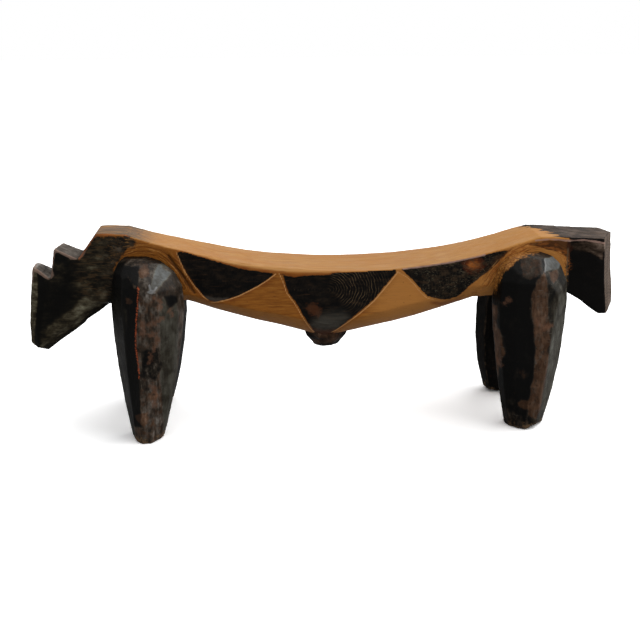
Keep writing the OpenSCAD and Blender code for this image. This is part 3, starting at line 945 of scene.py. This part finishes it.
    # Thin edges: a painted grey highlight along the step at the tail's root, worn rust on the dark
    # corners, and a pale painted highlight along the saddle's rim and the tail's
    # Painted highlight: a thin grey line along the step at the tail's root
    root = m.math("ABSOLUTE", tail + m.stray(1.2, (4, 4, 6))).fall(0.25, 0.95, 0.55)
    colour = colour.paint(root * side * z.fall(136, 138), 104, 90, 70)
    edge = (m.attr("edge") + m.stray(0.14, (4, 4, 4), 3)).rise(0.13, 0.22)
    steps = z.rise(112, 120) * x.fall(-190, -180)
    colour = colour.paint(edge * steps * 0.55, 146, 120, 106)
    brow = m.attr("brow") + m.stray(4, (4, 4, 3), 4, 0.7, (2, 9, 4))
    colour = colour.paint(brow.fall(0.2, 1.3, 0.62), 156, 92, 54)
    # Painted highlight: a pale line along the saddle's rim and the tail's rim
    rim = m.attr("rim") + m.stray(1.6, (8, 8, 4), 3, 0.6)
    colour = colour.paint(rim.fall(0.4, 1, 0.74), 176, 142, 128)
    coated = m.most(dark, stained)
    rough = m.noise((12, 8, 8)).step(0.3, 0.7, 0.4, 0.54) + coated * 0.12
    height = grain * 0.35 + m.noise((3, 1, 1), 3, 0.7) * 0.45
    height = height + m.noise((1.6, 1.6, 1.6), 3, 0.7) * 0.9 * coated
    return m.shade(colour, rough, height, BODY_GRAIN, BODY_SHEEN)


def leg_material(name):
    m = Tree(bpy.data.materials.new(name), "Object")
    tone, warmth = m.attr("tone"), m.attr("warm")
    colour = stain(m, tone, m.attr("mottle"), (4.5, 4.5, 8), (1.3, 1.3, 16))
    warm = warmth + m.stray(1.7, (4, 4, 5.5), 4, 0.65, (8, 3, 2))
    warmed = colour.tint(255, 205, 165).paint(0.4, 92, 62, 42)
    colour = colour.mix(warm.rise(0.25, 0.85, 0.85), warmed)
    colour = colour.mix(warm.fall(-0.5, 0.1, 0.8), colour.tint(226, 244, 240))
    # Painted reflection: the coldest facets are tinted blue-grey
    colour = colour.mix(warmth.fall(-0.88, -0.72), colour.tint(236, 240, 255))
    blot = m.noise((5.5, 5.5, 7.5), 3, 0.6, (3, 9, 9)).rise(0.56, 0.66)
    colour = colour.paint(blot * m.attr("blots") * 0.85, *BLACK)
    # Brown curls where the stain is rubbed through
    curl = m.attr("curl") + m.stray(9, (3, 3, 3), 4, 0.7, (4, 4, 1))
    colour = colour.paint(curl.fall(0, 2.8, 0.46), 118, 82, 62)
    bare = m.attr("bare") + m.stray(7, (2.5, 2.5, 7), 4, 0.7, (9, 4, 1))
    fibre = m.noise((3, 1, 1.6), 4, 0.7, (2, 2, 5))
    fibre = fibre.ramp((0.34, 70, 40, 16), (0.5, 146, 92, 40), (0.66, 196, 140, 76))
    colour = colour.mix(bare.fall(-0.8, 0.8, 0.92), fibre)
    # The red line, broken into dots
    dots = m.noise((1.4, 1.4, 0.9), 2, 0.6, (5, 5, 5)).step(0.42, 0.54, 0.12, 1)
    ridge = m.attr("ridge") + m.stray(2.6, (1.2, 1.2, 1.6), 2, 0.7)
    colour = colour.paint(ridge.fall(0.1, 0.95, 0.92) * dots, *RUST)
    scuff = m.attr("scuff") + m.noise((2, 2, 2)) * 0.5
    colour = colour.paint(scuff.fall(0.35, 1.35, 0.38), 170, 170, 172)
    edge = m.attr("edge") + m.stray(0.34, (3, 3, 6), 3)
    colour = colour.paint(edge.rise(0.16, 0.28, 0.3), 112, 92, 74)
    foot = m.axis("Z") * 1000 - m.noise((6, 6, 5), 3, 0.6) * 44
    colour = colour.paint(foot.fall(-24, -18, 0.78), *BARE)
    scratch = m.noise((8, 8, 0.45), 2, 0.5, (1, 5, 2)).rise(0.66, 0.74)
    colour = colour.paint(scratch * tone * 0.5, 140, 134, 126)
    rough = m.noise((9, 9, 12)).step(0.3, 0.7, 0.34, 0.48)
    height = m.noise((2.2, 2.2, 4), 3, 0.65) + m.noise((0.7, 0.7, 5)) * 0.4
    return m.shade(colour, rough, height, LEG_GRAIN, LEG_SHEEN)


honey_wood = body_material("honey_wood_carved")
dark_body = body_material("dark_stained_wood_carved")
dark_leg = leg_material("dark_stained_wood_legs")

# The body
shells = [beam_shell(), node_shell("stepped_head", head_overlap),
          node_shell("hooked_tail", tail_overlap)]
skin = remeshed(shell_mesh("body", shells), VOXEL, 2)
carve_body(skin)
flow = skin.attributes.new("flow", "FLOAT_VECTOR", "POINT")
flow.data.foreach_set("vector", normals_of(skin).astype(np.float32).ravel())
PIECES = [
    ("head_carving", "stepped_head", "dark_stained_wood", dark_body, [(NECK_X, 1)]),
    ("beam_carving", "saddle_beam", "honey_wood", honey_wood, [(NECK_X, -1), (ROOT_X, 1)]),
    ("tail_carving", "hooked_tail", "dark_stained_wood", dark_body, [(ROOT_X, -1)]),
]
for name, node, slot, material, cuts in PIECES:
    finish_piece(split_piece(skin, name, cuts), name, node, material)
bpy.data.meshes.remove(skin)


# The legs: the stain and the painted light change from one knife facet to the next

# Shapes in the side view that the stain and the painted light follow on the outer faces: tone,
# warmth, mottle, outline
FRONT_STAIN_AND_LIGHT = [
    (0.23, -0.6, 0.3, [(-170, 0), (-150, 0), (-154, 14), (-155.8, 47), (-154, 86), (-153, 102),
        (-158, 108), (-170, 106)]),
    (0.57, 0.42, 0.62, [(-143.4, 134), (-143.2, 113), (-144.8, 105), (-145.8, 97),
        (-146.8, 86), (-147, 72), (-145.7, 50), (-145.7, 0), (-100, 0), (-100, 134)]),
    # Partly stain, partly painted light: the right-hand facet, turned toward the light, is a paler
    # grey
    (0.56, -0.6, 0.22, [(-128.5, 112), (-128.5, 104.6), (-129, 90), (-129.6, 69.6),
        (-129.7, 38), (-130, 16), (-131, 0), (-100, 0), (-100, 112)]),
    (0.24, -0.1, 1, [(-143, 72), (-131, 75), (-130, 58), (-134, 50), (-144, 52)]),
    (0.56, 0.35, 0.5, [(-115, 116), (-115.6, 104.7), (-116.6, 81), (-117.6, 66), (-119.6, 44),
        (-100, 40), (-100, 116)]),
    (0.47, 0.15, 0.5, [(-144.4, 133.4), (-129.4, 133), (-131.1, 129.7), (-133.3, 126.5),
        (-134.5, 121.7), (-136.4, 115.7), (-143.1, 115)]),
    (0.42, 0.2, 0.3, [(-131.6, 115.5), (-124.2, 122.7), (-119, 127.3), (-113, 122),
        (-111, 111.1), (-115.6, 111.1), (-124.6, 113.3)]),
    (0.05, -0.3, 0.5, [(-124.6, 113.3), (-115.6, 111.1), (-116.1, 106.8), (-121.3, 103.1),
        (-123.9, 106.5)]),
    # Painted reflection: a pale blue-grey strip on the crown, where the light from above is
    # mirrored
    (0.78, -0.9, 0.1, [(-129.7, 134), (-119.4, 127.3), (-128.1, 119.4), (-132.7, 115.6),
        (-136.4, 116.7), (-135, 121.7), (-133.9, 125.2)]),
    (0.56, 0.5, 0.5, [(-153.5, 12.5), (-145.2, 14), (-146.2, 3.3), (-151.3, 0)]),
    (0.66, 0.4, 0.7, [(-139.7, 8.3), (-132.4, 5.8), (-131.6, 1.2), (-138, 1.7)]),
]
# Two ridges of the hind legs, at which several shapes meet
HIND_RIDGE = [
    (159.1, 125), (152.7, 119.5), (149.7, 112.2), (148.7, 104.7), (149.7, 94), (151.1, 84.2),
    (152.4, 72), (153.3, 57), (152.5, 40), (150.6, 24)
]
HIND_EDGE = [(164.9, 67), (165.2, 55), (164.2, 40), (162.9, 30.5)]
HIND_STAIN_AND_LIGHT = [
    (0.56, 0.95, 0.6, [(118, 22), (130.4, 30), (130.6, 48), (132.4, 60), (130.6, 72.8),
        (127.5, 79), (127.5, 96), (118, 98)]),
    (0.36, -0.4, 0.5, HIND_RIDGE + [(147, 0), (190, 0), (190, 126)]),
    (0.57, 0.75, 0.55, HIND_RIDGE + [(149, 8), (158.2, 8), (161.5, 16)] + HIND_EDGE[::-1]
        + [(166, 78), (164.3, 90), (164.2, 100), (162.6, 110), (161, 119)]),
    # Partly stain, partly painted light: the right-hand facet, turned toward the light, is a paler
    # grey
    (0.59, -0.7, 0.35, [(172, 104.6), (168.5, 92), (166.2, 80)] + HIND_EDGE
        + [(161.5, 14), (190, 0), (190, 112)]),
    (0.42, 0.45, 0.25, [(142.3, 131.5), (146.7, 134), (155.4, 133.5), (160.7, 131),
        (158.8, 125.5), (152.9, 121.4), (148.3, 119.2), (143.4, 121)]),
    (0.42, -0.5, 0.5, [(164.4, 124.7), (172, 126.5), (178, 127), (184, 121.8), (184, 105.7),
        (172.1, 104.6), (166.5, 110), (162.5, 119)]),
    (0.58, 0.85, 0.4, [(164, 124), (172.6, 124), (173.6, 118), (168, 114.5), (164.4, 117)]),
    # Painted reflection: a pale blue-grey strip on the crown, where the light from above is
    # mirrored
    (0.8, -0.9, 0.12, [(161, 134), (171.5, 133), (178.5, 127), (173.8, 123.4), (164.7, 124.9),
        (160.7, 124.2), (162.2, 129.5)]),
    (0.28, 0.2, 0.8, [(133, 0), (133.6, 16), (142, 12), (152, 11), (158, 7), (165, 0)]),
]
# Round marks: x, z, radius, change of tone, change of warmth
FRONT_SPOTS = [
    (-139.5, 129.8, 5, 0.1, 0.9), (-151.4, 109.8, 3.6, 0.16, 0.8), (-136, 38, 3.6, 0.12, 0.6),
    (-146, 20, 5, 0.1, 0.9), (-138, 66, 4, -0.12, -0.2), (-141, 47, 5, -0.2, -0.2)
]
HIND_SPOTS = [
    (147.3, 20.4, 5.2, 0.24, 1.1), (144.3, 45.2, 6, 0.12, 0.5), (158, 45, 5, 0.06, 0.3),
    (138, 22, 4, 0.14, 0)
]
# Curls where the stain is rubbed brown
FRONT_CURLS = [
    [(-131.9, 112.7), (-128.3, 110.3), (-127.1, 106.2), (-128.5, 104.6)],
    [(-127.9, 96.7), (-131.7, 94.2), (-136.5, 92), (-137.4, 93)],
    [(-141.1, 94.7), (-140.4, 90.7), (-141.1, 85.7), (-142.9, 86.8)],
    [(-136.4, 85.5), (-133.1, 85.3), (-131.4, 81.2), (-131.6, 77.2), (-134.1, 73.2)],
    [(-136.6, 70.3), (-137.4, 64.3)],
    [(-136.9, 45.8), (-133.8, 39.4), (-135.7, 30.1)],
    [(-121.3, 101.1), (-119.6, 97.8)],
]
HIND_CURLS = [
    [(131, 99.5), (134, 103)],
    [(127.9, 54.2), (130.1, 49.3)],
    [(153.5, 88.2), (158.6, 81.7), (165.3, 83.2)],
]
# Thin pale scuffs on the crowns
FRONT_SCUFFS = [
    [(-135.5, 121.4), (-134.5, 118.4), (-131.3, 116.5)],
    [(-136.4, 117.2), (-133.6, 116.1), (-130.4, 119.7)],
]
HIND_SCUFFS = [[(160.3, 124.2), (162.2, 128.2), (162, 131.2)]]
# The wood over the front of the hind legs is bare
BARE_WOOD = [
    (170, 150), (165, 136.6), (159.7, 135.4), (151.8, 134.7), (144.3, 132.4), (137.6, 128.1),
    (131.9, 123.3), (128.4, 117.4), (126, 109.9), (124.5, 104.5), (110, 100), (110, 150)
]
# The red line along the front ridge of the front legs
RED_RIDGE = [
    (-143.4, 120.4), (-144.3, 108.5), (-146.2, 94.8), (-147, 84.6), (-147.4, 74.4), (-146.1, 62.6),
    (-146, 51.8)
]
# The legs' width is read at shelves of this height
SHELF_H = 2
SHELVES = 81
# The middle of a leg, across the block
LEG_Y = 41
LEG_SEED = 31
# How far the ridges of the facets stray from the ones in the solids, by height
STRAY_Z = [0, 10, 28, 52, 78, 100, 116, 128]
FRONT_STRAY = [(-0.24, [0, 0, 0, 0, 0.3, 1.5, 2.4, 0])]
HIND_STRAY = [
    (0.08, [-3.2, -3.2, -2.6, -1.4, -3.7, -7, -3.5, 0]),
    (0.62, [-3, -4, -6, -6, -4.5, 0, 0, 0]),
]


def across_leg(co):
    """Place across the leg at its height, from -1 at its front edge to 1 at its rear edge."""
    x, _, z = co.T
    shelf = np.clip((z / SHELF_H).astype(int), 0, SHELVES - 1)
    low, high = np.full(SHELVES, HUGE), np.full(SHELVES, -HUGE)
    np.minimum.at(low, shelf, x)
    np.maximum.at(high, shelf, x)
    known = np.flatnonzero(high > low + 5)
    centres = (known + 0.5) * SHELF_H
    low_x, high_x = np.interp(z, centres, low[known]), np.interp(z, centres, high[known])
    return 2 * (x - low_x) / (high_x - low_x) - 1


def leg_change(front, right):
    """The leg as it stands: ridges that stray, soles that are not quite level, a knee."""
    def change(co):
        co = co.copy()
        x, y, z = co.T.copy()
        u = across_leg(co)
        outer = np.abs(y) > LEG_Y
        for ridge, strays in FRONT_STRAY if front else HIND_STRAY:
            near = outer & (np.abs(u - ridge) < 0.1) & (z < 122)
            stray = np.interp(z, STRAY_Z, strays) * near
            co[:, 0] += stray
            if ridge < 0.5:
                co[:, 1] -= np.sign(y) * 0.34 * np.abs(stray)
            else:
                co[:, 1] += np.sign(y) * 1.1 * np.abs(stray)
        if front and right:
            fuller = np.interp(z, [0, 19, 42, 66, 82, 96, 106],
                               [2.4, 3.1, 2.7, 2, 1.6, 1, 0])
            co[:, 0] += fuller * smooth(-0.2, 0.6, u)
        if not front and right:
            knee = np.interp(z, [0, 18, 35, 60, 80, 92], [1.1, 3.1, 4.6, 4.4, 2.4, 0])
            co[:, 0] -= knee * fall(-0.9, 0.1, u)
            co[:, 2] += 5.8 * fall(130, 148, x) * fall(2, 20, z)
        if not front and not right:
            heel = smooth(152.5, 162, x) * smooth(44, 54, np.abs(y))
            co[:, 2] += 5.6 * heel * fall(2, 24, z)
            co[:, 0] += 0.9 * smooth(0.4, 0.9, u) * hump(12, 62, 12, z)
        if front and not right:
            co[:, 0] -= 1.5 * smooth(0.3, 0.9, u) * hump(30, 98, 14, z)
            toe = fall(-140, -132, x) * smooth(44, 54, np.abs(y))
            co[:, 1] += np.sign(y) * 3 * toe * fall(4, 60, z)
        return co
    return change


def shade_leg(mesh, front, right, seed):
    """Attributes for the stain and the painted light, and how far the marks on it are."""
    co, no = surface(mesh)
    x, y, z = co.T
    outer = smooth(0, 0.3, np.sign(y) * no[:, 1])
    # The edges of the patches wander a little
    px = x + value_noise(co, (5, 5, 6), seed + 3)
    pz = z + value_noise(co, (5, 5, 6), seed + 4)
    tone = np.full(len(co), 0.03)
    warm = np.full(len(co), -0.1)
    mottle = np.full(len(co), 0.6)
    for *goals, outline in FRONT_STAIN_AND_LIGHT if front else HIND_STAIN_AND_LIGHT:
        soft = 0.4 + 1.2 * goals[2]
        share = fall(-soft, soft, area_distance(px, pz, outline))
        tone, warm, mottle = (toward(v, g, share) for v, g in zip((tone, warm, mottle), goals))
    # Painted light: the crown's upward faces are paler
    crown_top = smooth(0.8, 0.92, no[:, 2]) * smooth(125, 130, z)
    tone, warm = toward(tone, 0.38, crown_top), toward(warm, 0.2, crown_top)
    for sx, sz, r, more_tone, more_warm in FRONT_SPOTS if front else HIND_SPOTS:
        away = np.hypot(px - sx, pz - sz) + 0.9 * value_noise(co, 1.8, seed + 5)
        share = fall(0.55 * r, 1.1 * r, away)
        tone += more_tone * share
        warm = warm + more_warm * share
    # The inner faces are black, with brown remains
    tone, warm = toward(tone, 0.1, 1 - outer), toward(warm, 0.15, 1 - outer)
    for name, paths in (("ridge", [RED_RIDGE] if front else []),
                        ("curl", FRONT_CURLS if front else HIND_CURLS),
                        ("scuff", FRONT_SCUFFS if front else HIND_SCUFFS)):
        away = np.minimum(nearest(segment_distance, x, z, paths), FAR_OFF)
        put(mesh, **{name: away + 4 * (1 - outer)})
    put(mesh, bare=FAR_OFF if front else area_distance(x, z, BARE_WOOD), tone=tone, warm=warm,
        mottle=mottle, blots=mottle * smooth(0.3, 0.45, tone) * 0.9)


def carve_leg(mesh, seed):
    co, no = surface(mesh)
    marks = cell_distance(co, (9, 9, 19), seed)
    move = value_noise(co, (18, 18, 30), seed + 1) * 0.2 + (0.14 * marks - 0.1)
    move += value_noise(co, 3, seed + 2) * 0.05
    move *= smooth(0.5, 6, co[:, 2])
    co = co + no * move[:, None]
    co[:, 2] = np.maximum(co[:, 2], 0)
    set_points(mesh, co)
    put(mesh, edge=sharpness(mesh))


for k, node in enumerate(["left_front_leg", "right_front_leg", "left_hind_leg",
                          "right_hind_leg"]):
    front, right_side = "front" in node, "right" in node
    seed = LEG_SEED + 10 * k
    shell = node_shell(node, leg_change(front, right_side))
    mesh = remeshed(shell_mesh(node, [shell]), VOXEL, 1)
    shade_leg(mesh, front, right_side, seed)
    carve_leg(mesh, seed)
    mesh.shade_smooth()
    finish_piece(mesh, node + "_carving", node, dark_leg)


# The knob

KNOB_X = -2.5
KNOB_Z = 56.5
KNOB_H = 9.5
KNOB_HALF_L = 15
KNOB_HALF_W = 13
# Height and size of each ring, from the knob's underside up into the keel
KNOB_STEPS = [(0, 0.34), (0.14, 0.66), (0.55, 0.88), (1, 1.12), (1.7, 1.3)]
corners = [math.radians(45 * i + 22.5) for i in range(8)]
rings = [[(KNOB_X + math.cos(a) * size * KNOB_HALF_L, math.sin(a) * size * KNOB_HALF_W,
           KNOB_Z + rise * KNOB_H) for a in corners] for rise, size in KNOB_STEPS]
mesh = remeshed(shell_mesh("knob", [loft(rings)]), KNOB_VOXEL, 2)
co, no = surface(mesh)
move = value_noise(co, 5, 71) * 0.5 + cell_distance(co, 4, 72) * 0.5 - 0.4
set_points(mesh, co + no * move[:, None])
put(mesh, edge=sharpness(mesh))
lumps = value_noise(co, (6, 6, 5), 73)
upper = smooth(58, 63, co[:, 2]) * hump(-10, 6, 4, co[:, 0])
put(mesh, tone=0.2 + 0.2 * lumps + 0.26 * upper, warm=0.55 * lumps + 0.4 + 0.7 * upper,
    mottle=1, blots=0.4, ridge=FAR_OFF, curl=FAR_OFF, scuff=FAR_OFF, bare=FAR_OFF)
mesh.shade_smooth()
finish_piece(mesh, "belly_knob_carving", "belly_knob", dark_leg)


# Floor, light and camera

FLOOR_GREY = 0.3
FLOOR_WHITE = 1.5
FLOOR_HALF = 6
# Soft light from above, from behind and from the right; the front and the left are dimmer
SKY_BASE = 0.06
SKY_SIDES = [("Z", 0.72), ("Y", 0.35), ("Y", -0.26), ("X", 0.28)]


def grey(level):
    return (level, level, level, 1)


def to_camera(m):
    return m.value("ShaderNodeLightPath", "Is Camera Ray", {})


def floor_material():
    """A pale floor: it shows white to the camera and throws back less light than that."""
    m = Tree(bpy.data.materials.new("pale_floor"), "Object")
    colour = m.mix(to_camera(m), grey(FLOOR_GREY), grey(FLOOR_WHITE))
    matt = m.value("ShaderNodeBsdfDiffuse", "BSDF", {"Color": colour})
    m.node("ShaderNodeOutputMaterial", {"Surface": matt})
    return m.owner


floor_mesh = bpy.data.meshes.new("floor")
corners = [(x * FLOOR_HALF, y * FLOOR_HALF, 0) for x, y in ((-1, -1), (1, -1), (1, 1), (-1, 1))]
floor_mesh.from_pydata(corners, [], [(0, 1, 2, 3)])
floor = bpy.data.objects.new("floor", floor_mesh)
scene.collection.objects.link(floor)
floor_mesh.materials.append(floor_material())

# Each side of the sky adds its light, and the camera sees white instead
world = bpy.data.worlds.new("studio")
scene.world = world
sky = Tree(world, "Generated")
strength = SKY_BASE
for axis, share in SKY_SIDES:
    strength = sky.most(sky.axis(axis) * share, 0) + strength
lit, white = (sky.value("ShaderNodeBackground", "Background",
                        {"Color": grey(1), "Strength": level}) for level in (strength, 1))
shown = sky.value("ShaderNodeMixShader", "Shader", {"Fac": to_camera(sky), 1: lit, 2: white})
sky.node("ShaderNodeOutputWorld", {"Surface": shown})

# The key light is wide and soft, and throws each foot's shadow to the left
KEY_WIDTH = math.radians(80)
KEY_POWER = 2.1
KEY_WAY = Vector((-0.9, -0.25, -1))
key_data = bpy.data.lights.new("key", "SUN")
key_data.angle = KEY_WIDTH
key_data.energy = KEY_POWER
key = bpy.data.objects.new("key", key_data)
key.rotation_euler = KEY_WAY.to_track_quat("-Z", "Y").to_euler()
scene.collection.objects.link(key)

# The camera stands a little to the left of the middle and looks down by sixteen degrees
AZIMUTH, ELEVATION, ROLL = (math.radians(a) for a in (-3.81, 16, -0.37))
DISTANCE = 0.86693
TARGET = Vector((-0.006, 0, 0.08))
FRAME_PX = 640
FOCAL_PX = 1087.86
CENTRE_PX = (320.93, 316.38)
SENSOR = 36
back = Vector((math.sin(AZIMUTH) * math.cos(ELEVATION), -math.cos(AZIMUTH) * math.cos(ELEVATION),
               math.sin(ELEVATION)))
level = Vector((math.cos(AZIMUTH), math.sin(AZIMUTH), 0))
rise = back.cross(level)
right = level * math.cos(ROLL) + rise * math.sin(ROLL)
above = rise * math.cos(ROLL) - level * math.sin(ROLL)
camera_data = bpy.data.cameras.new("camera")
camera_data.sensor_width = SENSOR
camera_data.lens = FOCAL_PX * SENSOR / FRAME_PX
camera_data.shift_x = 0.5 - CENTRE_PX[0] / FRAME_PX
camera_data.shift_y = CENTRE_PX[1] / FRAME_PX - 0.5
camera = bpy.data.objects.new("camera", camera_data)
turn = Matrix((right, above, back)).transposed().to_4x4()
camera.matrix_world = Matrix.Translation(TARGET + back * DISTANCE) @ turn
scene.collection.objects.link(camera)
scene.camera = camera
scene.view_settings.view_transform = "Standard"
